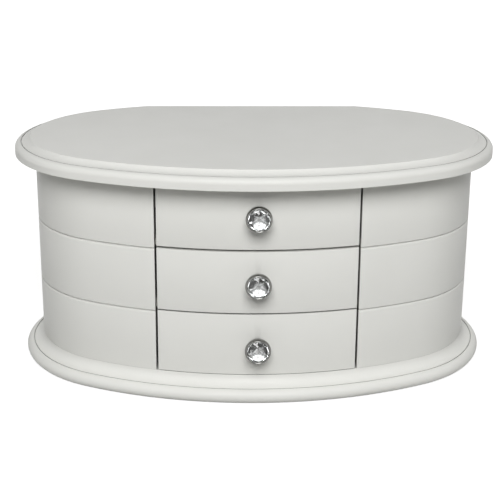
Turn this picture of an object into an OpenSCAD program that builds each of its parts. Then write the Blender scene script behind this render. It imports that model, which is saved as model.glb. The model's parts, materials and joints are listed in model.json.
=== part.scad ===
// Oval jewellery box: three curved drawers in the middle, fixed curved side panels, a hinged lid
// with a mirror inside, and a wind-up music works that turns a dancer on a coil spring.
// Millimetres. Origin: underside of the plinth at the centre of the oval, front towards -Y, +Z up.

/* [Outline] */
// Half width of the case wall
half_w = 150; // [135:1:170]
// Half depth of the full oval
half_d = 90; // [88:0.5:94]
// Radius of the rounded ends
end_r = 72; // [66:0.5:73]
// Outer face of the flat back
back_y = 78; // [76:0.5:80]

/* [Case] */
// Thickness of the bent side panels
wall_t = 7; // [5:0.5:8]
// Thickness of the back panel
back_t = 6; // [5:0.5:7]
// Height of one drawer tier
tier_h = 42.9; // [42.6:0.1:50]
// Width of the V-grooves in the side panels
groove_w = 1.8; // [1:0.1:3]
// Depth of the V-grooves
groove_d = 1; // [0.5:0.1:1.5]
// Distance of a groove's middle below its tier line
groove_drop = 1.6; // [0:0.1:2]
// Thickness of the upright partitions
part_t = 5; // [4:0.5:6]
// Thickness of the dust boards
board_t = 4; // [3:0.5:4.5]
// Thickness of the tray and stage floors
floor_t = 3; // [2.5:0.5:3.5]
// Thickness of the velvet lining
lining_t = 1; // [0.6:0.1:1.2]

/* [Plinth] */
// Thickness of the plinth
base_t = 16; // [14.5:0.5:17.5]
// Projection of the plinth beyond the wall
base_over = 12; // [11:0.5:14]
// Radius of the plinth's bullnose
base_bull = 4.6; // [4.2:0.1:5]

/* [Lid] */
// Thickness of the lid board
lid_t = 11; // [10:0.5:13]
// Projection of the lid beyond the wall
lid_over = 13.5; // [12:0.5:15]
// Radius of the rounding on the lid's edge
lid_bull = 4; // [3.6:0.1:4.4]
// Width of the cove and quirk on top of the lid's edge
lid_cove_in = 10.5; // [9.5:0.5:11.5]
// Projection of lid and plinth behind the back panel
back_over = 2.5; // [1:0.5:3]
// Gap between the case and the closed lid
lid_gap = 0.4; // [0.3:0.1:0.6]
// Depth of the recess under the lid
recess_h = 5; // [4.5:0.5:6]
// Half width of the mirror
mirror_half_w = 86; // [70:1:90]
// Front edge of the mirror
mirror_front_y = -54; // [-56:1:-40]
// Back edge of the mirror
mirror_back_y = 60; // [56:1:62]
// Thickness of the mirror glass
mirror_t = 2; // [1.5:0.5:2.5]

/* [Drawers] */
// Half width of the drawer opening
bay_half_w = 66; // [62:0.5:68]
// Gap beside a drawer front
front_gap = 1.4; // [1:0.1:1.8]
// Gap between the middle and bottom drawer fronts
seam_gap = 1; // [0.8:0.1:1.6]
// Gap between the top and middle drawer fronts
top_seam_gap = 1.6; // [0.8:0.1:2]
// Thickness of the curved drawer fronts
front_t = 9; // [8:0.5:10]
// Thickness of the drawer sides and back
box_t = 5; // [4:0.5:6]
// Thickness of the drawer bottoms
bottom_t = 3; // [2.5:0.5:4]
// Running clearance under and over a drawer
slide_gap = 0.4; // [0.3:0.1:0.6]
// Back end of the middle and bottom drawers
long_back_y = 60; // [50:1:64]
// Back end of the top drawer
short_back_y = -10; // [-14:0.5:-9.5]
// Height of the top drawer's box
top_box_h = 20; // [16:0.5:20]

/* [Knobs] */
// Radius of the knob's chrome bezel
bezel_r = 8.4; // [7:0.1:9]
// Radius of the crystal
crystal_r = 6.9; // [5.5:0.1:7.2]
// Distance from the drawer front to the bezel's rim
knob_h = 11.5; // [10:0.5:14]
// Radius of the knob's foot
foot_r = 5; // [4:0.1:6]
// Radius of the knob screw
knob_screw_r = 1.8; // [1.5:0.1:2]
// Height of the middle knob above the middle of its front
knob_rise = 1; // [0:0.1:2]
// How much farther apart the knobs are than the drawer fronts
knob_spread = 1.5; // [0:0.1:2]

/* [Tray] */
// Depth of the ring tray below the case's top edge
ring_tray_h = 17; // [16:0.5:18]
// Depth of the stage below the case's top edge
stage_h = 21; // [20.8:0.1:21.3]
// Front edge of the stage
stage_front_y = -4; // [-4:0.5:-3]
// Thickness of the rail and of the riser
rail_t = 4; // [3:0.5:4]
// Height of the riser above the stage floor
riser_h = 16; // [10:1:18]
// Number of ring rolls
roll_count = 5; // [4:1:5]
// Radius of a ring roll
roll_r = 5.6; // [5:0.1:5.6]
// Thickness of the side compartments' floors
side_floor_t = 4; // [3:0.5:5]

/* [Hinges] */
// Distance of each hinge from the middle
hinge_x = 50; // [40:1:60]
// Length of a hinge
hinge_l = 26; // [20:1:30]
// Thickness of a hinge leaf
leaf_t = 0.8; // [0.6:0.1:1]
// Depth of a leaf over the back panel
leaf_in = 5; // [4.5:0.1:5.2]
// Outer radius of the knuckles
knuckle_r = 2.2; // [2:0.1:2.6]
// Radius of the hinge pins
pin_r = 1; // [0.8:0.1:1.2]
// Radius of the hinge screws
screw_r = 0.9; // [0.7:0.1:1]
// Length of the hinge screws
screw_l = 7; // [5:0.5:8]

/* [Music works] */
// Height of the arbors above the upper dust board
works_h = 9.2; // [9.1:0.05:9.3]
// Module of the spur wheels
gear_m = 0.68; // [0.67:0.01:0.7]
// Radius of the tune cylinder
tune_r = 6; // [5:0.1:6]
// Length of the tune cylinder
tune_l = 30; // [26:1:31]
// Front end of the tune cylinder
tune_y = 11; // [11:0.5:12]
// Number of comb teeth
tine_count = 18; // [12:1:18]
// Thickness of the bedplate
bed_t = 1.4; // [1:0.1:1.6]
// Radius of the spring barrel
barrel_r = 6.6; // [5.5:0.1:6.8]
// Radius of the winding arbor
arbor_r = 2; // [1.6:0.1:2.4]
// Half width of the key's wings
key_half_w = 13; // [10:1:16]
// Projection of the key behind the back panel
key_out = 22; // [18:1:26]

/* [Dancer] */
// Distance of the spindle behind the middle
spindle_y = 58; // [57:0.5:60]
// Radius of the spindle
spindle_r = 1.5; // [1.2:0.1:1.8]
// Radius of the turntable
turntable_r = 9; // [7:0.5:10]
// Height of the spring's bend above the stage lining
fold_h = 11.5; // [11.4:0.05:11.6]
// Bend radius of the folded spring
bend_r = 7; // [6:0.5:7.5]
// Outer radius of the coil spring
coil_r = 2.2; // [1.8:0.1:2.4]
// Wire radius of the coil spring
wire_r = 0.4; // [0.3:0.05:0.5]
// Height of the dancer from foot to crown
dancer_h = 45; // [40:1:46]
// Radius of the skirt
skirt_r = 11; // [9:0.5:11]

/* [Hidden] */
$fn = 96;

// clearances
fit = 0.1;        // glued or screwed pieces that lie against a curved face
run = 0.05;       // radial clearance of a shaft in its bore
cut = 1;          // how far a cutting shape runs past the face it cuts
far = 400;        // larger than the box
quirk = 0.7;      // fine groove beside the bullnose

// levels
case_top = base_t + 3 * tier_h;
tier_z = [base_t, base_t + tier_h, base_t + 2 * tier_h];
lid_z = case_top + lid_gap;
back_in_y = back_y - back_t;
edge_y = back_y + back_over;
board_up = board_t / 2;
works_floor = tier_z[2] + board_up;
ring_floor_z = case_top - ring_tray_h;
stage_z = case_top - stage_h;
side_floor_z = tier_z[2];

// the oval: two side arcs and two end arcs that run tangent into each other
side_r = (pow(half_w - end_r, 2) + pow(half_d, 2) - pow(end_r, 2)) / (2 * (half_d - end_r));
turn = atan2(half_w - end_r, side_r - half_d);
side_c = side_r - half_d;
end_c = half_w - end_r;
// each stretch: centre of its arc, radius, and the wedge between the lines through the arcs' centres
STRETCHES = [
    [[0, side_c], side_r, [[0, side_c], [-2 * end_c, -side_c], [2 * end_c, -side_c]]],
    [[0, -side_c], side_r, [[0, -side_c], [2 * end_c, side_c], [-2 * end_c, side_c]]],
    [[end_c, 0], end_r, [
        [end_c, 0], [2 * end_c, -side_c], [far, -side_c], [far, side_c], [2 * end_c, side_c]
    ]],
    [[-end_c, 0], end_r, [
        [-end_c, 0], [-2 * end_c, side_c], [-far, side_c], [-far, -side_c], [-2 * end_c, -side_c]
    ]]
];

// fits of the drawers
front_half_w = bay_half_w - front_gap;
over_front = [seam_gap, top_seam_gap, seam_gap];    // gap over each front, from the bottom up
rail_o = front_t + 2 * slide_gap;
box_z = [base_t + slide_gap, tier_z[1] + board_up + slide_gap, works_floor + slide_gap];
box_h = [
    tier_z[1] - board_up - slide_gap - box_z[0],
    tier_z[2] - board_up - slide_gap - box_z[1],
    top_box_h
];
box_back = [long_back_y, long_back_y, short_back_y];

// knobs, measured out from the drawer front
bezel_neck_r = 3.4;
crystal_seat = 7.5;
crystal_crown = 2.6;
crown_facets = 12;
screw_bite = 4.5;       // how far the knob screw reaches into the bezel
screw_bore = 5;
screw_head_r = 2 * knob_screw_r;
screw_head_t = 2;
screw_sink = screw_head_t + 2 * fit;

// ring rolls
roll_gap = 1;           // between the rolls and the tray's walls
roll_pitch = 2 * roll_r + 0.3;
roll_last_y = stage_front_y - rail_t - roll_r - roll_gap;
roll_flat = 4;
roll_end = 3;

// recess under the lid
recess_o = -wall_t - 2;
recess_back_y = back_in_y - 2;

// music works
works_z = works_floor + works_h;
wheel_teeth = 20;
wheel_r = gear_m * wheel_teeth / 2;
tooth_up = 0.75 * gear_m;
tooth_down = 1.05 * gear_m;
gear_play = 0.1;
barrel_x = 2 * wheel_r + gear_play;
wheel_y = 8;
wheel_t = 2;
bed_top = works_floor + bed_t;
bracket_t = 1.5;
bracket_front_y = 5;
bracket_back_y = 47;
worm_wheel_y = 44;
worm_wheel_teeth = 30;
wheel_gap = 0.6;        // between the barrel's drum and the worm wheel
hub_t = 1.2;
bed_front_y = 3;
bed_back_y = 66;
bed_left_x = -34;
bed_right_x = 26;
tune_arbor_r = 1.2;
pin_out = 0.7;
comb_t = 0.9;
tine_gap = 0.4;
comb_play = 0.3;
comb_root_x = -24;
comb_screw_x = -29;
worm_r = 1.7;
governor_x = -(wheel_r + tooth_up + 0.25 + worm_r);
governor_y = worm_wheel_y + bracket_t / 2;
stop_x = -26;
stop_y = 64.5;
stop_r = 1;
stop_arm_out = 6;       // from the governor's axis to the arm that its fan meets
stop_arm_y = governor_y + stop_arm_out;
stop_arm_t = 1;
bed_inset = 3;
BED_SCREWS = [
    for (x = [bed_left_x + bed_inset, bed_right_x - bed_inset])
        for (y = [bed_front_y + bed_inset, bed_back_y - bed_inset]) [x, y]
];
bed_bite = 3;           // how far the works' screws reach into wood or seat
COMB_SCREWS = [for (y = [tune_y + 7, tune_y + tune_l - 7]) [comb_screw_x, y]];
comb_z = works_z - comb_t / 2;
tine_pitch = (tune_l - 2) / tine_count;
tine_tip_x = -(tune_r + pin_out + comb_play);
pin_rows = 12;
pin_rounds = 3;
bracket_left_x = -4;
bracket_right_x = barrel_x + 5;
bracket_top = works_z + 4;
post_x = -20;
post_t = 3;
arm_z = works_z + 5;
arm_t = 1.4;
governor_r = 0.8;
fan_r = 4.6;
fan_t = 0.6;

// winding key
wing_r = 6;
wing_hole_r = 2.6;
key_t = 2.2;
key_boss_l = 14;
arbor_back = 8;         // how far the arbor stops short of the key's end

// crown wheel and pinion
crown_teeth = 24;
pinion_teeth = 8;
crown_r = 7;
pinion_r = crown_r * pinion_teeth / crown_teeth;
crown_face = 1;
crown_plane = works_z + pinion_r;
crown_up = 0.65;
crown_down = 0.5;

// dancer
lining_top = stage_z + lining_t;
fold_z = lining_top + fold_h;
spring_z = fold_z - bend_r;
coil_turns = 12;

hands_up = 8;           // how far the raised hands reach over the body's height

// the figure's levels above the fold, standing upright
foot_z = bend_r + 0.2;
body_h = dancer_h - hands_up;
knee_z = foot_z + 0.26 * body_h;
waist_z = foot_z + 0.52 * body_h;
bust_z = foot_z + 0.68 * body_h;
neck_z = foot_z + 0.77 * body_h;
head_z = foot_z + 0.88 * body_h;
head_r = 2.9;

// hinges
hinge_y = edge_y + knuckle_r + fit;
hinge_z = case_top + lid_gap / 2;
knuckle_gap = 0.2;

// ---------- shared shapes ----------

// the oval at offset o from the wall's outer face
module oval(o = 0) {
    join_x = (side_r + o) * sin(turn);
    intersection() {
        translate([0, side_c]) circle(r = side_r + o, $fn = 360);
        translate([0, -side_c]) circle(r = side_r + o, $fn = 360);
        square([2 * join_x, 4 * half_d], center = true);
    }
    for (s = [-1, 1])
        translate([s * (half_w - end_r), 0]) circle(r = end_r + o, $fn = 240);
}

// a rectangle from corner to corner
module rect(x0, x1, y0, y1) {
    translate([x0, y0]) square([x1 - x0, y1 - y0]);
}

// a block from corner to corner
module block(x0, x1, y0, y1, z0, z1) {
    translate([x0, y0, z0]) cube([x1 - x0, y1 - y0, z1 - z0]);
}

// a rod along Y
module rod_y(r, y0, y1, x = 0, z = 0) {
    translate([x, y0, z]) rotate([-90, 0, 0]) cylinder(r = r, h = y1 - y0);
}

// a rod along Z
module rod_z(r, z0, z1, x = 0, y = 0) {
    translate([x, y, z0]) cylinder(r = r, h = z1 - z0);
}

// a rod along X
module rod_x(r, x0, x1, y, z) {
    translate([x0, y, z]) rotate([0, 90, 0]) cylinder(r = r, h = x1 - x0);
}

// runs a profile, drawn as [offset from the wall, height], round the whole oval
module around_oval(z0, z1) {
    for (stretch = STRETCHES)
        intersection() {
            translate(stretch[0]) rotate_extrude($fn = 240) translate([stretch[1], 0]) children();
            translate([0, 0, z0]) linear_extrude(z1 - z0) polygon(stretch[2]);
        }
}

// edge moulding of lid and plinth: a nose below, a fine quirk and a wide cove up to the top;
// the nose is a full bullnose, or a quarter round over an upright face where faced is true
module moulding(over, t, bull, cove_at, faced) {
    nose_x = over - bull;
    quirk_x = nose_x - quirk;
    cove_w = quirk_x - cove_at;
    cove_h = t - 2 * bull;
    // the cove's arc leaves the quirk level and reaches the top at cove_at
    cove_r = (cove_w * cove_w + cove_h * cove_h) / (2 * cove_h);
    difference() {
        union() {
            rect(-wall_t, nose_x, 0, 2 * bull);
            translate([nose_x, bull]) circle(r = bull, $fn = 64);
            if (faced) rect(nose_x - cut, over, 0, bull);
            rect(-wall_t, quirk_x, bull, t);
        }
        translate([quirk_x, 2 * bull + cove_r]) circle(r = cove_r, $fn = 64);
        rect(quirk_x, nose_x, 2 * bull - quirk, t);
    }
}

// moulded oval board, cut straight at the back
module moulded_board(over, t, bull, cove_at, faced = false) {
    difference() {
        union() {
            linear_extrude(t) oval(-wall_t / 2);
            around_oval(-cut, t + cut) moulding(over, t, bull, cove_at, faced);
        }
        translate([-far / 2, edge_y, -cut]) cube([far, far, t + 2 * cut]);
    }
}

// flat oval piece inside the wall at offset o, between two x and two y limits
module inner_board(o, x0, x1, y0, y1, z0, t) {
    translate([0, 0, z0]) linear_extrude(t) intersection() {
        oval(o);
        rect(x0, x1, y0, y1);
    }
}

// spur wheel along Y with its front face at y, one tooth or one gap towards +X
module spur(teeth, r, up, down, thick, bore, phase, tip = 0.42, foot = 1.15) {
    step = 360 / teeth;
    translate([0, thick, 0]) rotate([90, 0, 0]) linear_extrude(thick) difference() {
        union() {
            circle(r = r - down);
            for (i = [0:teeth - 1]) rotate(phase + i * step)
                polygon([
                    [r - down - 0.2, -foot * gear_m], [r + up, -tip * gear_m],
                    [r + up, tip * gear_m], [r - down - 0.2, foot * gear_m]
                ]);
        }
        circle(r = bore);
    }
}

// ---------- case ----------

module base_plinth() color("ivory")
    moulded_board(base_over, base_t, base_bull, 0);

module side_panel(s) color("ivory")
    difference() {
        translate([0, 0, base_t]) linear_extrude(case_top - base_t) intersection() {
            difference() {
                oval(0);
                oval(-wall_t);
            }
            if (s > 0) rect(bay_half_w, far, -far, back_in_y);
            else rect(-far, -bay_half_w, -far, back_in_y);
        }
        for (z = [tier_z[1], tier_z[2]])
            translate([0, 0, z - groove_drop]) around_oval(-groove_w, groove_w)
                polygon([[groove_d, -groove_w], [-groove_d, 0], [groove_d, groove_w]]);
    }

module side_panel_left() side_panel(-1);
module side_panel_right() side_panel(1);

module back_panel() color("ivory")
    difference() {
        inner_board(0, -far, far, back_in_y, back_y, base_t, case_top - base_t);
        rod_y(arbor_r + 1.2, back_in_y - cut, back_y + cut, barrel_x, works_z);
        for (s = [-1, 1]) {
            block(
                s * hinge_x - hinge_l / 2 - fit, s * hinge_x + hinge_l / 2 + fit,
                back_y - leaf_in - fit, back_y + cut, case_top - leaf_t, case_top + cut
            );
            for (t = [-1, 1])
                rod_z(screw_r + run, case_top - screw_l - fit, case_top, s * hinge_x + t * hinge_l / 4,
                    back_y - leaf_in / 2);
        }
    }

module partition(s) color("ivory") {
    x0 = s > 0 ? bay_half_w : -bay_half_w - part_t;
    inner_board(-wall_t - fit, x0, x0 + part_t, -far, back_in_y, base_t, case_top - base_t);
}

module partition_left() partition(-1);
module partition_right() partition(1);

module dust_board(z) color("wheat")
    difference() {
        inner_board(-rail_o, -bay_half_w, bay_half_w, -far, back_in_y, z - board_up, board_t);
        if (z > tier_z[1]) {
            rod_z(spindle_r + 2 * run, z - 1, z + board_t, 0, spindle_y);
            for (p = BED_SCREWS)
                rod_z(screw_r + run, works_floor - bed_bite - fit, z + board_t, p[0], p[1]);
        }
    }

module dust_board_lower() dust_board(tier_z[1]);
module dust_board_upper() dust_board(tier_z[2]);

module tray_front_rail() color("ivory")
    translate([0, 0, ring_floor_z - floor_t]) linear_extrude(ring_tray_h + floor_t) intersection() {
        difference() {
            oval(-rail_o);
            oval(-rail_o - rail_t);
        }
        rect(-bay_half_w, bay_half_w, -far, 0);
    }

module ring_tray_floor() color("ivory")
    inner_board(-rail_o - rail_t - fit, -bay_half_w, bay_half_w, -far, stage_front_y - rail_t,
        ring_floor_z - floor_t, floor_t);

module stage_riser() color("ivory")
    block(-bay_half_w, bay_half_w, stage_front_y - rail_t, stage_front_y,
        stage_z - floor_t, stage_z + riser_h);

module stage_floor() color("ivory")
    difference() {
        block(-bay_half_w, bay_half_w, stage_front_y, back_in_y, stage_z - floor_t, stage_z);
        rod_z(spindle_r + 1, stage_z - floor_t - cut, stage_z + cut, 0, spindle_y);
        rod_z(stop_r + 2 * run, stage_z - floor_t - cut, stage_z + cut, stop_x, stop_y);
    }

module side_floor(s) color("ivory") {
    x = bay_half_w + part_t;
    inner_board(-wall_t - fit, s > 0 ? x : -far, s > 0 ? far : -x, -far, back_in_y,
        side_floor_z - side_floor_t, side_floor_t);
}

module side_floor_left() side_floor(-1);
module side_floor_right() side_floor(1);

// ---------- linings ----------

module ring_tray_lining() color("gainsboro")
    inner_board(-rail_o - rail_t - 3 * fit, -bay_half_w + fit, bay_half_w - fit, -far,
        stage_front_y - rail_t - fit, ring_floor_z, lining_t);

module stage_lining() color("gainsboro")
    difference() {
        block(-bay_half_w + fit, bay_half_w - fit, stage_front_y + fit, back_in_y - fit,
            stage_z, lining_top);
        rod_z(spindle_r + 1.5, stage_z - cut, lining_top + cut, 0, spindle_y);
        rod_z(stop_r + 0.8, stage_z - cut, lining_top + cut, stop_x, stop_y);
    }

module side_linings() color("gainsboro")
    for (s = [-1, 1]) {
        x = bay_half_w + part_t + fit;
        inner_board(-wall_t - 3 * fit, s > 0 ? x : -far, s > 0 ? far : -x, -far, back_in_y - fit,
            side_floor_z, lining_t);
    }

// padded rolls that hold rings between them

module ring_rolls() color("gainsboro")
    for (i = [0:roll_count - 1])
        intersection() {
            rod_x(roll_r, roll_end - bay_half_w, bay_half_w - roll_end, roll_last_y - i * roll_pitch,
                ring_floor_z + lining_t + roll_flat);
            inner_board(-rail_o - rail_t - roll_gap, -far, far, -far, stage_front_y,
                ring_floor_z + lining_t, ring_tray_h);
        }

// ---------- hinges ----------

// one hinge leaf with its knuckles; up is 1 for the lid leaf and -1 for the case leaf
module leaf(s, up) {
    third = hinge_l / 3;
    plate_z = up > 0 ? lid_z : case_top - leaf_t;
    spans = up > 0
        ? [[-third / 2 + knuckle_gap / 2, third / 2 - knuckle_gap / 2]]
        : [[-hinge_l / 2, -third / 2 - knuckle_gap / 2], [third / 2 + knuckle_gap / 2, hinge_l / 2]];
    translate([s * hinge_x, 0, 0]) difference() {
        union() {
            block(-hinge_l / 2, hinge_l / 2, back_y - leaf_in, edge_y - 0.2, plate_z, plate_z + leaf_t);
            for (span = spans) {
                rod_x(knuckle_r, span[0], span[1], hinge_y, hinge_z);
                block(span[0], span[1], edge_y - 0.3, hinge_y, plate_z, plate_z + leaf_t);
            }
        }
        rod_x(pin_r + run, -hinge_l, hinge_l, hinge_y, hinge_z);
        for (t = [-1, 1])
            rod_z(2 * screw_r + run, plate_z - cut, plate_z + leaf_t + cut, t * hinge_l / 4,
                back_y - leaf_in / 2);
    }
}

// countersunk screws of one leaf row; up is 1 in the lid and -1 in the case
module leaf_screws(up)
    for (s = [-1, 1], t = [-1, 1])
        translate([s * hinge_x + t * hinge_l / 4, back_y - leaf_in / 2, up > 0 ? lid_z : case_top])
            mirror([0, 0, up > 0 ? 0 : 1]) {
                cylinder(r = 2 * screw_r, h = leaf_t);
                cylinder(r = screw_r, h = screw_l);
            }

module hinge_case_leaves() color("gold")
    for (s = [-1, 1]) leaf(s, -1);

module hinge_lid_leaves() color("gold")
    for (s = [-1, 1]) leaf(s, 1);

module hinge_pins() color("gold")
    for (s = [-1, 1])
        rod_x(pin_r, s * hinge_x - hinge_l / 2, s * hinge_x + hinge_l / 2, hinge_y, hinge_z);

module case_screws() color("gold") leaf_screws(-1);
module lid_screws() color("gold") leaf_screws(1);

// ---------- lid ----------

module lid_board() color("ivory")
    translate([0, 0, lid_z]) difference() {
        moulded_board(lid_over, lid_t, lid_bull, lid_over - lid_cove_in, true);
        translate([0, 0, -cut]) linear_extrude(recess_h + cut) intersection() {
            oval(recess_o);
            rect(-far, far, -far, recess_back_y);
        }
        for (s = [-1, 1]) {
            block(
                s * hinge_x - hinge_l / 2 - fit, s * hinge_x + hinge_l / 2 + fit,
                back_y - leaf_in - fit, edge_y + cut, -cut, leaf_t
            );
            for (t = [-1, 1])
                rod_z(screw_r + run, 0, screw_l + fit, s * hinge_x + t * hinge_l / 4,
                    back_y - leaf_in / 2);
        }
    }

module lid_lining() color("gainsboro")
    translate([0, 0, lid_z + 1]) linear_extrude(recess_h - 1) difference() {
        intersection() {
            oval(recess_o - 3 * fit);
            rect(-far, far, -far, recess_back_y - fit);
        }
        rect(-mirror_half_w - fit, mirror_half_w + fit, mirror_front_y - fit, mirror_back_y + fit);
    }

module mirror_glass() color("lightsteelblue")
    block(-mirror_half_w, mirror_half_w, mirror_front_y, mirror_back_y,
        lid_z + recess_h - mirror_t, lid_z + recess_h);

// ---------- drawers ----------

module drawer_front(k) color("ivory") {
    z0 = tier_z[k] + (k == 0 ? slide_gap : over_front[k - 1] / 2);
    z1 = tier_z[k] + tier_h - over_front[k] / 2;
    difference() {
        translate([0, 0, z0]) linear_extrude(z1 - z0) intersection() {
            difference() {
                oval(0);
                oval(-front_t);
            }
            rect(-front_half_w, front_half_w, -far, 0);
        }
        rod_y(knob_screw_r + run, -half_d - cut, front_t - half_d + cut, 0, knob_z(k));
        rod_y(screw_head_r + fit, front_t - half_d - screw_sink, front_t - half_d + cut, 0, knob_z(k));
    }
}

module drawer_box(k) color("wheat")
    difference() {
        inner_board(-front_t - fit, -front_half_w, front_half_w, -far, box_back[k], box_z[k], box_h[k]);
        inner_board(-front_t + fit, box_t - front_half_w, front_half_w - box_t, -far,
            box_back[k] - box_t, box_z[k] + bottom_t, far);
    }

module drawer_lining(k) color("gainsboro")
    inner_board(-front_t - 3 * fit, box_t - front_half_w + fit, front_half_w - box_t - fit, -far,
        box_back[k] - box_t - fit, box_z[k] + bottom_t, lining_t);

// height of a drawer's knob, near the middle of its front
function knob_z(k) = tier_z[k] + tier_h / 2 + knob_rise + (k - 1) * knob_spread;

// chrome bezel: foot, waist, flared cup and rim, drawn as [radius, distance from the front]
module knob_bezel(k) color("silver")
    translate([0, -half_d, knob_z(k)]) rotate([90, 0, 0]) difference() {
        rotate_extrude($fn = 72) polygon([
            [0, 0], [foot_r, 0], [foot_r, 1], [bezel_neck_r, 2.2], [bezel_neck_r, 3.6],
            [bezel_r - 1.4, 6.4], [bezel_r, 8], [bezel_r, knob_h - 0.8], [bezel_r - 0.6, knob_h],
            [crystal_r + fit, knob_h], [crystal_r + fit, crystal_seat], [0, crystal_seat]
        ]);
        translate([0, 0, -cut]) cylinder(r = knob_screw_r + run, h = screw_bore + cut, $fn = 48);
    }

// cut crystal: flat table, a crown of facets and a plain girdle in the bezel
module knob_crystal(k) color("aliceblue")
    translate([0, -half_d, knob_z(k)]) rotate([90, 0, 0]) {
        translate([0, 0, crystal_seat + run]) cylinder(r = crystal_r, h = knob_h - crystal_seat);
        translate([0, 0, knob_h - fit]) cylinder(r1 = crystal_r, r2 = crystal_r / 2, h = crystal_crown,
            $fn = crown_facets);
    }

module knob_screw(k) color("silver")
    translate([0, front_t - half_d, knob_z(k)]) rotate([90, 0, 0]) {
        cylinder(r = knob_screw_r, h = front_t + screw_bite, $fn = 48);
        translate([0, 0, screw_sink - screw_head_t]) cylinder(r = screw_head_r, h = screw_head_t, $fn = 48);
    }

module drawer_front_top() drawer_front(2);
module drawer_front_middle() drawer_front(1);
module drawer_front_bottom() drawer_front(0);
module drawer_box_top() drawer_box(2);
module drawer_box_middle() drawer_box(1);
module drawer_box_bottom() drawer_box(0);
module drawer_lining_top() drawer_lining(2);
module drawer_lining_middle() drawer_lining(1);
module drawer_lining_bottom() drawer_lining(0);
module knob_bezel_top() knob_bezel(2);
module knob_bezel_middle() knob_bezel(1);
module knob_bezel_bottom() knob_bezel(0);
module knob_crystal_top() knob_crystal(2);
module knob_crystal_middle() knob_crystal(1);
module knob_crystal_bottom() knob_crystal(0);
module knob_screw_top() knob_screw(2);
module knob_screw_middle() knob_screw(1);
module knob_screw_bottom() knob_screw(0);

// ---------- music works ----------

module bedplate() color("goldenrod")
    difference() {
        union() {
            block(bed_left_x, bed_right_x, bed_front_y, bed_back_y, works_floor, bed_top);
            // bearing brackets
            for (y = [bracket_front_y, bracket_back_y])
                block(bracket_left_x, bracket_right_x, y, y + bracket_t, works_floor, bracket_top);
            // comb seat
            block(bed_left_x, comb_root_x, tune_y, tune_y + tune_l, works_floor, comb_z);
            // governor post and arm
            block(post_x, post_x + post_t, governor_y - 2, governor_y + 2, works_floor, arm_z + arm_t);
            block(post_x, governor_x + 2, governor_y - 1.5, governor_y + 1.5, arm_z, arm_z + arm_t);
        }
        for (y = [bracket_front_y, bracket_back_y]) {
            rod_y(tune_arbor_r + run, y - cut, y + bracket_t + cut, 0, works_z);
            rod_y(arbor_r + run, y - cut, y + bracket_t + cut, barrel_x, works_z);
        }
        rod_z(governor_r + run, works_floor - cut, far, governor_x, governor_y);
        rod_z(spindle_r + run, works_floor - cut, bed_top + cut, 0, spindle_y);
        for (p = BED_SCREWS) rod_z(screw_r + run, works_floor - cut, bed_top + cut, p[0], p[1]);
        for (p = COMB_SCREWS) rod_z(screw_r + run, comb_z - bed_bite - cut, comb_z + cut, p[0], p[1]);
    }

module comb() color("lightgray")
    difference() {
        block(bed_left_x, tine_tip_x, tune_y + 1, tune_y + tune_l - 1, comb_z, comb_z + comb_t);
        for (i = [1:tine_count - 1])
            block(comb_root_x, 0, tune_y + 1 + i * tine_pitch - tine_gap / 2,
                tune_y + 1 + i * tine_pitch + tine_gap / 2, comb_z - cut, comb_z + comb_t + cut);
        for (p = COMB_SCREWS) rod_z(screw_r + run, comb_z - cut, comb_z + comb_t + cut, p[0], p[1]);
    }

module works_screws() color("silver") {
    for (p = BED_SCREWS) translate([p[0], p[1], bed_top]) {
        cylinder(r = 2 * screw_r, h = 1);
        translate([0, 0, -bed_t - bed_bite]) cylinder(r = screw_r, h = bed_t + bed_bite);
    }
    for (p = COMB_SCREWS) translate([p[0], p[1], comb_z + comb_t]) {
        cylinder(r = 2 * screw_r, h = 1);
        translate([0, 0, -comb_t - bed_bite]) cylinder(r = screw_r, h = comb_t + bed_bite);
    }
}

module spring_barrel() color("goldenrod")
    translate([barrel_x, 0, works_z]) {
        difference() {
            union() {
                rod_y(barrel_r, wheel_y + wheel_t, worm_wheel_y - wheel_gap);
                rod_y(arbor_r + hub_t, wheel_y + wheel_t, worm_wheel_y + bracket_t);
            }
            rod_y(arbor_r + run, wheel_y, worm_wheel_y + bracket_t + cut);
        }
        translate([0, wheel_y, 0])
            spur(wheel_teeth, wheel_r, tooth_up, tooth_down, wheel_t, arbor_r + run, 180 / wheel_teeth);
    }

module winding_arbor() color("silver")
    rod_y(arbor_r, bracket_front_y - 1, back_y + key_out - arbor_back, barrel_x, works_z);

module winding_key() color("gold")
    translate([barrel_x, back_y, works_z]) difference() {
        union() {
            rod_y(arbor_r + 2, key_out - key_boss_l, key_out - 4);
            // two rounded wings joined across the boss
            for (s = [-1, 1])
                translate([s * (key_half_w - wing_r), key_out - wing_r, -key_t / 2])
                    cylinder(r = wing_r, h = key_t);
            block(wing_r - key_half_w, key_half_w - wing_r, key_out - 10, key_out - 2, -key_t / 2, key_t / 2);
        }
        rod_y(arbor_r, 0, key_out - arbor_back);
        for (s = [-1, 1])
            translate([s * (key_half_w - wing_r), key_out - wing_r, -key_t])
                cylinder(r = wing_hole_r, h = 2 * key_t);
    }

module tune_cylinder() color("gold") {
    translate([0, 0, works_z]) {
        rod_y(tune_r, tune_y, tune_y + tune_l);
        rod_y(tune_arbor_r, bracket_front_y - 1, spindle_y - spindle_r - 2);
        // pins that pluck the comb
        for (i = [0:pin_rows - 1], j = [0:pin_rounds - 1])
            translate([0, tune_y + 2 + i * tine_pitch * 1.35, 0])
                rotate([0, (i * 47 + j * 120 + 8) % 360, 0])
                    cylinder(r = 0.3, h = tune_r + pin_out, $fn = 16);
    }
}

module cylinder_wheels() color("goldenrod")
    translate([0, 0, works_z]) {
        translate([0, wheel_y, 0])
            spur(wheel_teeth, wheel_r, tooth_up, tooth_down, wheel_t, tune_arbor_r, 0);
        translate([0, worm_wheel_y, 0])
            spur(worm_wheel_teeth, wheel_r + tooth_up - 0.6, 0.6, 0.4, bracket_t, tune_arbor_r, 0,
                0.3, 0.7);
    }

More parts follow.
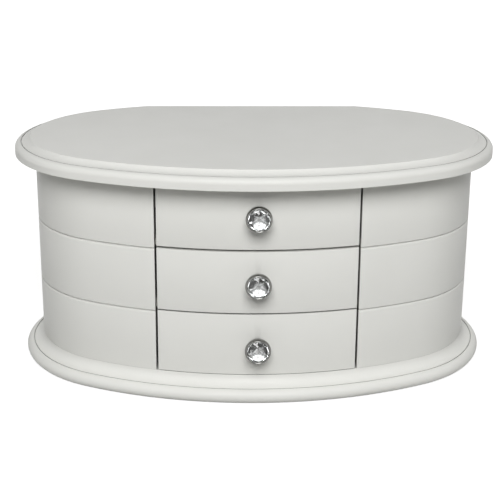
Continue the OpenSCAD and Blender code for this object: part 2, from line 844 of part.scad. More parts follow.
module drive_pinion() color("goldenrod")
    translate([0, spindle_y - crown_r - crown_face, works_z])
        spur(pinion_teeth, pinion_r, 0.45, 0.65, 2 * crown_face, tune_arbor_r, 180 / pinion_teeth + 90,
            0.28, 0.62);

module governor() color("silver")
    translate([governor_x, governor_y, 0]) {
        rod_z(governor_r, works_floor + 0.4, arm_z + arm_t - 0.2);
        rod_z(worm_r, bed_top + 2.4, arm_z - 0.6);
        block(-fan_r, fan_r, -fan_t / 2, fan_t / 2, bed_top + 0.5, bed_top + 1.8);
        block(-fan_t / 2, fan_t / 2, -fan_r, fan_r, bed_top + 0.5, bed_top + 1.8);
    }

// rod that the closing lid presses down to hold the governor still
module stop_rod() color("silver") {
    rod_z(stop_r, bed_top + 0.6, lid_z + 1 - fit - 0.2, stop_x, stop_y);
    block(stop_x - stop_arm_t / 2, stop_x + stop_arm_t / 2, stop_arm_y, stop_y,
        bed_top + 0.6, bed_top + 1.8);
    block(stop_x, governor_x - 2, stop_arm_y, stop_arm_y + stop_arm_t, bed_top + 0.6, bed_top + 1.8);
}

module spindle() color("silver")
    translate([0, spindle_y, 0]) {
        rod_z(spindle_r, works_floor - 0.5, lining_top + 1);
        rod_z(turntable_r, lining_top + 0.4, lining_top + 1.6);
        rod_z(coil_r + 0.6, lining_top + 1.5, spring_z);
    }

module crown_wheel() color("goldenrod")
    translate([0, spindle_y, 0]) difference() {
        union() {
            rod_z(crown_r + crown_face + 0.3, crown_plane + crown_up, crown_plane + crown_up + 1.4);
            rod_z(spindle_r + 1.2, crown_plane - 0.5, crown_plane + crown_up + 0.1);
            for (i = [0:crown_teeth - 1]) rotate(i * 360 / crown_teeth)
                block(crown_r - crown_face, crown_r + crown_face, -0.3, 0.3,
                    crown_plane - crown_down, crown_plane + crown_up + 0.1);
        }
        rod_z(spindle_r, crown_plane - 2, crown_plane + 4);
    }

// ---------- dancer ----------

// the spring folded over a quarter turn: a core tube with one ring of wire per turn
module coil_spring() color("silver")
    translate([0, spindle_y - bend_r, spring_z]) rotate([0, 90, 0]) rotate([0, 0, 90]) {
        rotate_extrude(angle = 90) translate([bend_r, 0]) circle(r = coil_r - 1.5 * wire_r, $fn = 32);
        for (i = [0:coil_turns - 1]) rotate([0, 0, (i + 0.5) * 90 / coil_turns])
            translate([bend_r, wire_r / 2, 0]) rotate([90, 0, 0]) cylinder(r = coil_r, h = wire_r, $fn = 32);
    }

// places a figure drawn upright and facing -Y at its folded position
module folded() translate([0, spindle_y, fold_z]) rotate([90, 0, 0]) children();

// a limb from one joint to the next
module limb(a, b, ra, rb) {
    d = b - a;
    translate(a) rotate([0, acos(d[2] / norm(d)), atan2(d[1], d[0])])
        cylinder(r1 = ra, r2 = rb, h = norm(d), $fn = 24);
    translate(b) sphere(r = 1.08 * rb, $fn = 24);
}

module dancer() color("mistyrose")
    folded() {
        rod_z(coil_r, foot_z, foot_z + 1.5);
        for (s = [-1, 1]) {
            limb([s * 0.3, 0, foot_z + 1], [s * 0.9, 0, knee_z], 0.7, 1.15);
            limb([s * 0.9, 0, knee_z], [s * 1.3, 0, waist_z], 1.15, 1.9);
            limb([s * 2.4, 0, bust_z + 1.6], [s * 5.6, -0.6, head_z - 0.4], 0.85, 0.7);
            limb([s * 5.6, -0.6, head_z - 0.4], [s * 1.5, -1, foot_z + dancer_h - 1], 0.7, 0.55);
        }
        limb([0, 0, waist_z - 1], [0, 0, bust_z], 2.1, 2.7);
        limb([0, 0, bust_z], [0, 0, neck_z], 2.7, 1.1);
        limb([0, 0, neck_z - 0.5], [0, 0, head_z], 1, 1);
        translate([0, 0, head_z]) sphere(r = head_r, $fn = 32);
        translate([0, 0.9, head_z + head_r]) sphere(r = 1.4, $fn = 24);
    }

// flared skirt of stiff net, thin at the rim
module skirt() color("pink")
    folded() translate([0, 0, waist_z]) rotate_extrude($fn = 72) polygon([
        [2.2, 2.2], [3.2, 2.0], [6, 0.9], [skirt_r, -2.6], [skirt_r, -3.1], [6, -1.0],
        [3.4, -0.4], [2.2, -0.2]
    ]);

// ---------- pieces ----------

base_plinth();
side_panel_left();
side_panel_right();
back_panel();
partition_left();
partition_right();
dust_board_lower();
dust_board_upper();
tray_front_rail();
ring_tray_floor();
stage_riser();
stage_floor();
side_floor_left();
side_floor_right();
ring_tray_lining();
stage_lining();
side_linings();
ring_rolls();
hinge_case_leaves();
case_screws();
lid_board();
lid_lining();
mirror_glass();  // mirror
hinge_lid_leaves();
lid_screws();
hinge_pins();
drawer_front_top();
drawer_front_middle();
drawer_front_bottom();
drawer_box_top();
drawer_box_middle();
drawer_box_bottom();
drawer_lining_top();
drawer_lining_middle();
drawer_lining_bottom();
knob_bezel_top();
knob_bezel_middle();
knob_bezel_bottom();
knob_crystal_top();
knob_crystal_middle();
knob_crystal_bottom();
knob_screw_top();
knob_screw_middle();
knob_screw_bottom();
bedplate();
comb();
works_screws();
spring_barrel();
winding_arbor();
winding_key();
tune_cylinder();
cylinder_wheels();
drive_pinion();
governor();
stop_rod();
spindle();
crown_wheel();
coil_spring();
dancer();
skirt();
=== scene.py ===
"""Looks of the oval jewellery box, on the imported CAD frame. Metres, front towards -Y, +Z up."""

import json
import math
import random

import bmesh
import bpy
from mathutils import Matrix, Vector


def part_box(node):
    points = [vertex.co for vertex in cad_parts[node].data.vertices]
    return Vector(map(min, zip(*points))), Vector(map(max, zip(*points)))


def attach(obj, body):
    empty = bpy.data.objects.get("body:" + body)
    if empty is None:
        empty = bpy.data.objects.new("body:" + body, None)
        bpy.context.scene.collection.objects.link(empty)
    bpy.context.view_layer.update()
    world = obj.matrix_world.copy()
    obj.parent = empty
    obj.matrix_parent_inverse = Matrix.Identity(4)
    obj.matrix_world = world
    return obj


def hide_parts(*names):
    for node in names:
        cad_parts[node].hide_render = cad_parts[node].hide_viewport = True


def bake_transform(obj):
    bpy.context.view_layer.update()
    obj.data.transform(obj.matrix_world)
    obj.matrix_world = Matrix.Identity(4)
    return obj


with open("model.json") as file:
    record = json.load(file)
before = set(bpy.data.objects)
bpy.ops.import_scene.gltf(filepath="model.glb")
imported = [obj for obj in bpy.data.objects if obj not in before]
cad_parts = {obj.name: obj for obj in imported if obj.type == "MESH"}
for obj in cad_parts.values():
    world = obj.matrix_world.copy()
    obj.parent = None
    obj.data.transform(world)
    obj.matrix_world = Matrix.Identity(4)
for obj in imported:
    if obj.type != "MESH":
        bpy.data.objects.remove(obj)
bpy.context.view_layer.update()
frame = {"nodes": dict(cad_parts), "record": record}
MM = 0.001
RECORD = frame["record"]
BODY_OF = {node: body for body, nodes in RECORD["behaviour"]["bodies"].items() for node in nodes}
SLOT_OF = {part["node"]: part["material_slot"] for part in RECORD["subparts"]}
TIERS = ("top", "middle", "bottom")

# ---------- camera: the photograph's viewpoint ----------

IMAGE_LONG_SIDE = 500
FOCAL_PX = 1189.1
CAMERA_DISTANCE = 835.4 * MM
CAMERA_PITCH = 0.3115
CAMERA_YAW = -0.0323
CAMERA_ROLL = 0.0081
TARGET_Z = 101.5 * MM
SHIFT_X = -4.63 / IMAGE_LONG_SIDE
SHIFT_Y = -42.16 / IMAGE_LONG_SIDE
SENSOR = 36.0
CLIP = (0.01, 20)


def make_camera():
    cos_p, sin_p = math.cos(CAMERA_PITCH), math.sin(CAMERA_PITCH)
    back = Vector((math.sin(CAMERA_YAW) * cos_p, -math.cos(CAMERA_YAW) * cos_p, sin_p))
    level = Vector((math.cos(CAMERA_YAW), math.sin(CAMERA_YAW), 0))
    up = back.cross(level)
    cos_r, sin_r = math.cos(CAMERA_ROLL), math.sin(CAMERA_ROLL)
    right, top = cos_r * level + sin_r * up, cos_r * up - sin_r * level
    data = bpy.data.cameras.new("camera")
    data.sensor_width = SENSOR
    data.lens = FOCAL_PX * SENSOR / IMAGE_LONG_SIDE
    data.shift_x, data.shift_y = SHIFT_X, SHIFT_Y
    data.clip_start, data.clip_end = CLIP
    cam = bpy.data.objects.new("camera", data)
    turn = Matrix((right, top, back)).transposed().to_4x4()
    cam.matrix_world = Matrix.Translation(back * CAMERA_DISTANCE + Vector((0, 0, TARGET_Z))) @ turn
    bpy.context.scene.collection.objects.link(cam)
    bpy.context.scene.camera = cam


# ---------- materials ----------

# the middle stretch of a noise's values, over which colours and roughness change
NOISE_MIDDLE = (0.3, 0.7)


class Shader:
    """A procedural material: a Principled shader with helpers for the nodes that feed it."""

    def __init__(self, name, **sockets):
        self.material = bpy.data.materials.new(name)
        self.material.use_nodes = True
        self.nodes = self.material.node_tree.nodes
        self.links = self.material.node_tree.links
        self.bsdf = self.nodes["Principled BSDF"]
        self.place = self.nodes.new("ShaderNodeTexCoord").outputs["Object"]
        for key, value in sockets.items():
            self.bsdf.inputs[key.replace("_", " ")].default_value = value

    def stretched(self, scale):
        mapping = self.nodes.new("ShaderNodeMapping")
        mapping.inputs["Scale"].default_value = scale
        self.links.new(self.place, mapping.inputs["Vector"])
        return mapping.outputs["Vector"]

    def noise(self, scale, detail=4, rough=0.5, where=None):
        node = self.nodes.new("ShaderNodeTexNoise")
        node.inputs["Scale"].default_value = scale
        node.inputs["Detail"].default_value = detail
        node.inputs["Roughness"].default_value = rough
        self.links.new(where or self.place, node.inputs["Vector"])
        return node.outputs["Fac"]

    def two_tone(self, value, first, second):
        """A colour that turns from the first to the second over the middle of a noise."""
        node = self.nodes.new("ShaderNodeValToRGB")
        for element, at, colour in zip(node.color_ramp.elements, NOISE_MIDDLE, (first, second)):
            element.position = at
            element.color = (*colour, 1)
        self.links.new(value, node.inputs["Fac"])
        return node.outputs["Color"]

    def spread(self, value, low, high):
        """A number that goes from low to high over the middle of a noise."""
        node = self.nodes.new("ShaderNodeMapRange")
        node.inputs["From Min"].default_value = NOISE_MIDDLE[0]
        node.inputs["From Max"].default_value = NOISE_MIDDLE[1]
        node.inputs["To Min"].default_value = low
        node.inputs["To Max"].default_value = high
        self.links.new(value, node.inputs["Value"])
        return node.outputs["Result"]

    def bump(self, value, height, strength):
        """Relief of a height in metres, on top of any relief that is there already."""
        node = self.nodes.new("ShaderNodeBump")
        node.inputs["Distance"].default_value = height
        node.inputs["Strength"].default_value = strength
        self.links.new(value, node.inputs["Height"])
        if self.bsdf.inputs["Normal"].is_linked:
            self.links.new(self.bsdf.inputs["Normal"].links[0].from_socket, node.inputs["Normal"])
        self.links.new(node.outputs["Normal"], self.bsdf.inputs["Normal"])

    def feed(self, socket, value):
        self.links.new(value, self.bsdf.inputs[socket])

    def painted_crevice_shade(self, colour, reach, dark):
        """The colour with painted shade: darker where another face stands close, as in grooves and
        seams.
        """
        near = self.nodes.new("ShaderNodeAmbientOcclusion")
        near.samples = 8
        near.inputs["Distance"].default_value = reach
        self.links.new(colour, near.inputs["Color"])
        mix = self.nodes.new("ShaderNodeMix")
        mix.data_type = "RGBA"
        mix.inputs["Factor"].default_value = dark
        self.links.new(colour, mix.inputs["A"])
        self.links.new(near.outputs["Color"], mix.inputs["B"])
        return mix.outputs["Result"]


# how near another face has to be for painted shade to darken the paint, and how far the plain
# colour gives way to that painted shade
PAINTED_SHADE_REACH = 2 * MM
PAINTED_SHADE_AMOUNT = 0.65


def painted_wood():
    s = Shader("white_satin_paint", Coat_Weight=0.04, Coat_Roughness=0.35, Specular_IOR_Level=0.15)
    paint = s.two_tone(s.noise(9), (0.755, 0.755, 0.722), (0.780, 0.779, 0.746))
    # painted shade: the paint's colour darkens where another face stands close, in grooves, seams
    # and corners
    s.feed("Base Color", s.painted_crevice_shade(paint, PAINTED_SHADE_REACH, PAINTED_SHADE_AMOUNT))
    s.feed("Roughness", s.spread(s.noise(60), 0.40, 0.50))
    s.bump(s.noise(900, 2), 0.00003, 0.35)
    s.bump(s.noise(120, 3, where=s.stretched((1, 1, 0.25))), 0.00006, 0.25)
    return s.material


def bare_wood():
    s = Shader("thin_painted_board")
    grain = s.noise(55, 6, 0.6, s.stretched((0.25, 5, 5)))
    s.feed("Base Color", s.two_tone(grain, (0.66, 0.64, 0.58), (0.76, 0.745, 0.70)))
    s.feed("Roughness", s.spread(grain, 0.55, 0.7))
    s.bump(grain, 0.0001, 0.3)
    return s.material


def velvet():
    s = Shader(
        "grey_velvet", Sheen_Weight=0.7, Sheen_Roughness=0.35, Sheen_Tint=(0.92, 0.90, 0.93, 1)
    )
    pile = s.noise(2600, 3, 0.7)
    nap = s.two_tone(s.noise(45, 5), (0.38, 0.355, 0.385), (0.52, 0.49, 0.525))
    s.feed("Base Color", nap)
    s.feed("Roughness", s.spread(pile, 0.82, 0.98))
    s.bump(pile, 0.0003, 0.7)
    s.bump(s.noise(80, 3), 0.0006, 0.35)
    return s.material


def satin():
    s = Shader("padded_satin", Sheen_Weight=0.25, Sheen_Roughness=0.3, Anisotropic=0.4)
    dye = s.two_tone(s.noise(30, 4), (0.60, 0.565, 0.59), (0.68, 0.645, 0.67))
    s.feed("Base Color", dye)
    s.feed("Roughness", s.spread(s.noise(70), 0.34, 0.46))
    s.bump(s.noise(3000, 2, where=s.stretched((1, 0.2, 1))), 0.0001, 0.3)
    s.bump(s.noise(60, 3, where=s.stretched((1, 0.35, 1))), 0.0008, 0.35)
    return s.material


def metal(name, dark, light, rough, streak=(1, 1, 1), height=0.00003):
    s = Shader(name, Metallic=1.0)
    s.feed("Base Color", s.two_tone(s.noise(40, 4), dark, light))
    lines = s.noise(700, 3, where=s.stretched(streak))
    s.feed("Roughness", s.spread(lines, *rough))
    s.bump(lines, height, 0.3)
    return s.material


def silvered():
    s = Shader("silvered_glass", Metallic=1.0)
    s.feed("Base Color", s.two_tone(s.noise(5), (0.88, 0.90, 0.90), (0.91, 0.93, 0.925)))
    s.feed("Roughness", s.spread(s.noise(25), 0.015, 0.03))
    return s.material


def cut_crystal():
    s = Shader("cut_crystal", IOR=1.54, Transmission_Weight=1.0)
    clear = s.two_tone(s.noise(90), (0.95, 0.965, 0.975), (0.98, 0.99, 0.995))
    s.feed("Base Color", clear)
    s.feed("Roughness", s.spread(s.noise(200), 0.0, 0.012))
    return s.material


def moulded(name, dark, light, rough=(0.28, 0.4), scatter=0.0):
    s = Shader(name, Subsurface_Weight=scatter, Coat_Weight=0.15, Coat_Roughness=0.25)
    s.bsdf.inputs["Subsurface Scale"].default_value = 0.001
    s.feed("Base Color", s.two_tone(s.noise(260, 4), dark, light))
    s.feed("Roughness", s.spread(s.noise(500), *rough))
    s.bump(s.noise(1600, 2), 0.00003, 0.3)
    return s.material


def net():
    s = Shader("stiff_net", Sheen_Weight=0.4, Sheen_Roughness=0.3)
    weave = s.noise(2200, 2)
    s.feed("Base Color", s.two_tone(s.noise(150), (0.86, 0.60, 0.68), (0.93, 0.72, 0.78)))
    s.feed("Roughness", s.spread(weave, 0.6, 0.8))
    s.feed("Alpha", s.spread(weave, 0.55, 0.9))
    s.bump(weave, 0.0002, 0.5)
    return s.material


MATERIALS = {
    "painted_wood": painted_wood(),
    "bare_wood": bare_wood(),
    "velvet_lining": velvet(),
    "satin_pad": satin(),
    "hinge_brass": metal("polished_brass", (0.74, 0.56, 0.25), (0.83, 0.66, 0.34), (0.16, 0.3)),
    "mirror_glass": silvered(),
    # darker than real chrome, after the dark bezels of the picture
    # the low base colour is a painted reflection, standing in for the dark surroundings that real
    # chrome would reflect
    "chrome": metal(
        "polished_chrome", (0.16, 0.16, 0.155), (0.21, 0.21, 0.20), (0.05, 0.10), height=0.00001
    ),
    "crystal": cut_crystal(),
    "steel": metal(
        "brushed_steel", (0.48, 0.48, 0.49), (0.60, 0.60, 0.61), (0.24, 0.38), (1, 0.08, 1)
    ),
    "works_brass": metal(
        "satin_brass", (0.62, 0.48, 0.22), (0.72, 0.57, 0.29), (0.26, 0.4), (1, 0.1, 1)
    ),
    "figure_plastic": moulded("figure_skin", (0.80, 0.60, 0.50), (0.87, 0.68, 0.58), scatter=0.15),
    "net": net(),
}
BODICE = moulded("figure_bodice", (0.80, 0.48, 0.58), (0.88, 0.58, 0.67))
HAIR = moulded("figure_hair", (0.10, 0.055, 0.03), (0.17, 0.095, 0.05), (0.35, 0.5))
FEATURE = moulded("figure_features", (0.26, 0.13, 0.10), (0.34, 0.18, 0.14))
FOIL = metal("stone_foil", (0.40, 0.40, 0.40), (0.52, 0.52, 0.51), (0.03, 0.08))
LIPS = moulded("figure_lips", (0.62, 0.22, 0.24), (0.70, 0.28, 0.30))

# ---------- building helpers ----------


def add(name, verts, faces, body, material, slot, smooth_angle=35):
    """A mesh object in the shared frame, in metres. It rides on a CAD body where one is named."""
    mesh = bpy.data.meshes.new(name)
    mesh.from_pydata([tuple(v) for v in verts], [], faces)
    mesh.update()
    obj = bpy.data.objects.new(name, mesh)
    bpy.context.scene.collection.objects.link(obj)
    mesh.materials.append(material)
    finish_mesh(obj, smooth_angle)
    if body:
        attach(obj, body)
    return obj


def finish_mesh(obj, smooth_angle):
    """Outward normals, smooth shading and sharp edges above an angle."""
    bm = bmesh.new()
    bm.from_mesh(obj.data)
    bmesh.ops.recalc_face_normals(bm, faces=bm.faces)
    bm.to_mesh(obj.data)
    bm.free()
    obj.data.shade_smooth()
    obj.data.set_sharp_from_angle(angle=math.radians(smooth_angle))


def settle(obj):
    """Replaces an object's mesh by the one its modifiers give."""
    graph = bpy.context.evaluated_depsgraph_get()
    mesh = bpy.data.meshes.new_from_object(obj.evaluated_get(graph))
    obj.modifiers.clear()
    obj.data = mesh


def clean_copy(node):
    """Vertices and faces of a CAD node, welded, with its flat faces whole."""
    bm = bmesh.new()
    bm.from_mesh(frame["nodes"][node].data)
    bmesh.ops.remove_doubles(bm, verts=bm.verts, dist=2e-6)
    bmesh.ops.dissolve_limit(bm, angle_limit=math.radians(0.15), verts=bm.verts, edges=bm.edges)
    bm.verts.index_update()
    verts = [v.co.copy() for v in bm.verts]
    faces = [[v.index for v in f.verts] for f in bm.faces]
    bm.free()
    return verts, faces


# edges that turn by more than this many degrees are eased, and shaded as sharp if they still do
EASED_ANGLE = 32


def eased(node, name, radius, material, segments=3):
    """A copy of a CAD node with softened arrises, which stands for it."""
    obj = add(name, *clean_copy(node), None, material, SLOT_OF[node])
    bevel = obj.modifiers.new("arris", "BEVEL")
    bevel.width, bevel.segments = radius, segments
    bevel.limit_method, bevel.angle_limit = "ANGLE", math.radians(EASED_ANGLE)
    settle(obj)
    finish_mesh(obj, EASED_ANGLE)
    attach(obj, BODY_OF[node])
    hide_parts(node)
    return obj


def lathe(profile, count):
    """A turned shape about +Z from (radius, height) points. Radius 0 gives a single vertex."""
    verts, rows, faces = [], [], []
    for r, z in profile:
        if r == 0:
            rows.append([len(verts)] * count)
            verts.append(Vector((0, 0, z)))
            continue
        rows.append([len(verts) + i for i in range(count)])
        verts += [
            Vector((r * math.cos(a), r * math.sin(a), z))
            for a in (2 * math.pi * i / count for i in range(count))
        ]
    for low, high in zip(rows, rows[1:]):
        for i in range(count):
            j = (i + 1) % count
            faces.append(list(dict.fromkeys([low[i], low[j], high[j], high[i]])))
    return verts, faces


def between_rings(rings, around):
    """Faces that join each ring of points to the next one."""
    faces = []
    for i in range(rings):
        for j in range(around):
            n = (j + 1) % around
            faces.append(
                [i * around + j, i * around + n, (i + 1) * around + n, (i + 1) * around + j]
            )
    return faces


def end_caps(rings, around):
    """Faces that close the first and the last ring."""
    return [list(range(around))[::-1], [rings * around + j for j in range(around)]]


def rounded(profile, radius, steps=4):
    """The profile with each corner between its two ends turned into a short curve."""
    out = [profile[0]]
    for a, b, c in zip(profile, profile[1:], profile[2:]):
        a, b, c = Vector(a), Vector(b), Vector(c)
        reach = min(radius, 0.45 * (a - b).length, 0.45 * (c - b).length)
        p, q = b + (a - b).normalized() * reach, b + (c - b).normalized() * reach
        for i in range(steps + 1):
            t = i / steps
            out.append(tuple((1 - t) ** 2 * p + 2 * t * (1 - t) * b + t * t * q))
    return out + [profile[-1]]


# ---------- woodwork ----------

FRONT_ARRIS = 0.7 * MM
PANEL_ARRIS = 0.6 * MM
BOARD_ARRIS = 0.4 * MM


def make_woodwork():
    paint = MATERIALS["painted_wood"]
    for tier in TIERS:
        eased(f"drawer_front_{tier}", f"front_{tier}", FRONT_ARRIS, paint)
        eased(f"drawer_box_{tier}", f"box_{tier}", BOARD_ARRIS, MATERIALS["bare_wood"])
    for side in ("left", "right"):
        eased(f"side_panel_{side}", f"panel_{side}", PANEL_ARRIS, paint)
        eased(f"partition_{side}", f"divider_{side}", BOARD_ARRIS, paint)
    eased("stage_riser", "riser", BOARD_ARRIS, paint)
    eased("tray_front_rail", "front_rail", BOARD_ARRIS, paint)


# ---------- knobs ----------

# the stones and their foil, which have a lamp of their own
STONES = bpy.data.collections.new("knob_stones")

BEZEL_R = 8.4 * MM
STONE_R = 6.85 * MM
RIM_Z = 11.5 * MM
BEZEL_ARRIS = 0.6 * MM
# half the bezel's section, radius and height in millimetres, round its outside and into its cup
BEZEL_SECTION = (
    (0, 0), (5.0, 0), (5.0, 1.0), (3.5, 2.1), (3.4, 3.8), (6.5, 6.0),
    (BEZEL_R / MM, 8.0), (BEZEL_R / MM, 10.4), (7.7, RIM_Z / MM),
    (7.1, 11.2), (7.0, 10.4), (6.5, 9.5), (1.0, 9.5), (0, 9.5),
)
# levels of the stone above the drawer front, and the radii of its inner ring and flat back
POINT_Z, INNER_Z, GIRDLE_Z, UNDER_Z, BACK_Z = (v * MM for v in (14.0, 12.4, 10.3, 10.0, 9.6))
INNER_R, BACK_R = 3.6 * MM, 6.3 * MM
FACETS = 6
FIRST_FACET = -math.pi / 2


def knob_place(node):
    """Turns a knob drawn along +Z to -Y and sets its base on the drawer front, at its CAD node."""
    low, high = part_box(node)
    base = Vector(((low.x + high.x) / 2, high.y, (low.z + high.z) / 2))
    return Matrix.Translation(base) @ Matrix.Rotation(math.radians(90), 4, "X")


FOIL_GAP = 0.6 * MM
FOIL_REACH = (FOIL_GAP, 2.9 * MM, 6.2 * MM)
FOIL_Z = (9.52 * MM, 9.57 * MM)


def foil_plates():
    """Foil behind the stone: wedges, each an inner and an outer plate with dark joints between."""
    verts, faces = [], []
    step = 2 * math.pi / FACETS
    for k in range(FACETS):
        middle = FIRST_FACET + (k + 0.5) * step
        for near, far in zip(FOIL_REACH, FOIL_REACH[1:]):
            start = near + (FOIL_GAP if near > FOIL_GAP else 0)
            corners = []
            for r, side in ((start, -1), (far, -1), (far, 1), (start, 1)):
                a = middle + side * (step / 2 - FOIL_GAP / 2 / r)
                corners.append((r * math.cos(a), r * math.sin(a)))
            first = len(verts)
            verts += [Vector((x, y, z)) for z in FOIL_Z for x, y in corners]
            faces += [[first + i for i in (3, 2, 1, 0)], [first + i for i in (4, 5, 6, 7)]]
            faces += [
                [first + i, first + (i + 1) % 4, first + 4 + (i + 1) % 4, first + 4 + i]
                for i in range(4)
            ]
    return verts, faces


def make_knob(tier):
    body = f"drawer_{tier}"
    place = knob_place(f"knob_bezel_{tier}")
    section = [(r * MM, z * MM) for r, z in BEZEL_SECTION]
    verts, faces = lathe(rounded(section, BEZEL_ARRIS), 96)
    turned = [place @ v for v in verts]
    ring = add(f"bezel_{tier}", turned, faces, body, MATERIALS["chrome"], "chrome", 60)
    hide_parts(f"knob_bezel_{tier}")

    verts, faces = foil_plates()
    foil = add(f"foil_{tier}", [place @ v for v in verts], faces, body, FOIL, "chrome", 60)
    STONES.objects.link(foil)

    verts, faces = cut_stone()
    cut = [place @ v for v in verts]
    stone = add(f"crystal_{tier}", cut, faces, body, MATERIALS["crystal"], "crystal", 1)
    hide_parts(f"knob_crystal_{tier}")
    STONES.objects.link(stone)


def ring_of(r, z, count):
    """Points round a circle, the first at the bottom of the knob."""
    angles = [FIRST_FACET + i * 2 * math.pi / count for i in range(count)]
    return [Vector((r * math.cos(a), r * math.sin(a), z)) for a in angles]


def cut_stone():
    """A flat-backed stone: low facets round the point and a steeper ring of facets outside them."""
    edge = 2 * FACETS
    verts = (
        [Vector((0, 0, POINT_Z))]
        + ring_of(INNER_R, INNER_Z, FACETS)
        + ring_of(STONE_R, GIRDLE_Z, edge)
        + ring_of(STONE_R, UNDER_Z, edge)
        + ring_of(BACK_R, BACK_Z, edge)
    )
    inner = 1
    girdle = inner + FACETS
    under, back = girdle + edge, girdle + 2 * edge
    faces = [[back + i for i in range(edge)]]
    for i in range(FACETS):
        j = (i + 1) % FACETS
        a, b, c = 2 * i, 2 * i + 1, (2 * i + 2) % edge
        faces += [
            [0, inner + i, inner + j],
            [inner + i, girdle + b, inner + j],
            [inner + i, girdle + a, girdle + b],
            [inner + j, girdle + b, girdle + c],
        ]
        for m, n in ((a, b), (b, c)):
            faces += [
                [girdle + m, girdle + n, under + n, under + m],
                [under + m, under + n, back + n, back + m],
            ]
    return verts, faces


# ---------- soft parts ----------

PILE = 0.35 * MM
PAD_EDGE = 1.4 * MM


def make_linings():
    velvet_nodes = ["ring_tray_lining", "stage_lining", "side_linings"]
    velvet_nodes += [f"drawer_lining_{tier}" for tier in TIERS]
    for node in velvet_nodes:
        eased(node, f"velvet_{node}", PILE, MATERIALS["velvet_lining"])
    pad = eased("lid_lining", "satin_surround", PAD_EDGE, MATERIALS["satin_pad"], 5)


ROLL_COUNT = 5
ROLL_R = 5.6 * MM
ROLL_AXIS_UP = 4 * MM
ROLL_CLEAR = 0.05 * MM
ROLL_SEED = 11


def make_rolls():
    """Stuffed rolls for rings, flat underneath and drawn in at both ends."""
    low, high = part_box("ring_rolls")
    pitch = (high.y - low.y - 2 * ROLL_R) / (ROLL_COUNT - 1)
    half = (high.x - low.x) / 2
    rings, around = 90, 40
    rng = random.Random(ROLL_SEED)
    for k in range(ROLL_COUNT):
        y = low.y + ROLL_R + k * pitch
        phase = rng.uniform(0, 6)
        verts = []
        for i in range(rings + 1):
            u = -1 + 2 * i / rings
            ends = (1 - abs(u) ** 26) ** 0.5
            swell = ends * (0.985 + 0.012 * math.sin(9 * u + phase))
            for j in range(around):
                a = 2 * math.pi * j / around
                pucker = 1 - 0.03 * abs(u) ** 30 * math.cos(10 * a)
                z = low.z + ROLL_AXIS_UP + ROLL_R * swell * pucker * math.sin(a)
                across = y + ROLL_R * swell * pucker * math.cos(a)
                verts.append((u * half, across, max(z, low.z + ROLL_CLEAR)))
        faces = between_rings(rings, around) + end_caps(rings, around)
        cloth = MATERIALS["velvet_lining"]
        roll = add(f"ring_roll_{k + 1}", verts, faces, "case", cloth, "velvet_lining", 60)
    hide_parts("ring_rolls")


# ---------- spring and dancer ----------

JOINTS = {joint["name"]: joint for joint in RECORD["behaviour"]["joints"]}
_, SPINDLE_Y, FOLD_Z = JOINTS["dancer_fold"]["pos_m"]
BEND_R = 7 * MM
SPRING_R = 1.8 * MM
WIRE_R = 0.35 * MM
SPRING_TURNS = 11


def tube(path, radius, sides=10):
    """A round tube along a list of points."""
    verts = []
    normal = None
    for i, p in enumerate(path):
        ahead = (path[min(i + 1, len(path) - 1)] - path[max(i - 1, 0)]).normalized()
        if normal is None:
            normal = ahead.orthogonal().normalized()
        normal = (normal - ahead * normal.dot(ahead)).normalized()
        other = ahead.cross(normal)
        for j in range(sides):
            a = 2 * math.pi * j / sides
            verts.append(p + radius * (math.cos(a) * normal + math.sin(a) * other))
    last = len(path) - 1
    return verts, between_rings(last, sides) + end_caps(last, sides)


def make_spring():
    steps = 24
    total = SPRING_TURNS * steps
    centre = Vector((0, SPINDLE_Y - BEND_R, FOLD_Z - BEND_R))
    path = []
    for i in range(total + 1):
        bend = math.pi / 2 * i / total
        out = Vector((0, math.cos(bend), math.sin(bend)))
        a = 2 * math.pi * i / steps
        aside = Vector((SPRING_R * math.sin(a), 0, 0))
        path.append(centre + out * (BEND_R + SPRING_R * math.cos(a)) + aside)
    verts, faces = tube(path, WIRE_R)
    coil = add("wound_spring", verts, faces, None, MATERIALS["steel"], "steel", 60)
    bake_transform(coil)
    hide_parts("coil_spring")


def folded(p):
    """A point of the upright figure, in millimetres facing -Y, at its folded place in metres."""
    return Vector((p[0], -p[2], p[1])) * MM + Vector((0, SPINDLE_Y, FOLD_Z))


def blob(centre, size, rings=14, around=20):
    """An ellipsoid in the upright figure's millimetres."""
    angles = [math.pi * i / rings for i in range(rings + 1)]
    profile = [(math.sin(a), -math.cos(a)) for a in angles]
    profile[0], profile[-1] = (0, profile[0][1]), (0, profile[-1][1])
    verts, faces = lathe(profile, around)
    return [Vector((c + v * s for c, v, s in zip(centre, vert, size))) for vert in verts], faces


def chain(points, radii, per=8):
    """A limb of overlapping balls between joints, to be fused by a remesh."""
    verts, faces = [], []
    for a, b, ra, rb in zip(points, points[1:], radii, radii[1:]):
        for i in range(per + 1):
            t = i / per
            r = ra + (rb - ra) * t
            v, f = blob(Vector(a).lerp(Vector(b), t), (r, r, r), 10, 14)
            faces += [[n + len(verts) for n in face] for face in f]
            verts += v
    return verts, faces


def fused(name, parts, material, slot, voxel=0.22, smooth=6):
    """One smooth skin over overlapping parts drawn in the upright figure's millimetres."""
    verts, faces = [], []
    for v, f in parts:
        faces += [[n + len(verts) for n in face] for face in f]
        verts += v
    obj = add(name, [folded(v) for v in verts], faces, None, material, slot, 80)
    remesh = obj.modifiers.new("skin", "REMESH")
    remesh.mode, remesh.voxel_size = "VOXEL", voxel * MM
    soft = obj.modifiers.new("soft", "SMOOTH")
    soft.factor, soft.iterations = 0.5, smooth
    settle(obj)
    obj.data.materials.clear()
    obj.data.materials.append(material)
    finish_mesh(obj, 80)
    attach(obj, "dancer")
    return obj


# levels of the figure above the fold, in millimetres
FOOT, KNEE, WAIST, BUST, NECK, HEAD = 7.3, 16.8, 26.4, 32.4, 35.7, 39.8
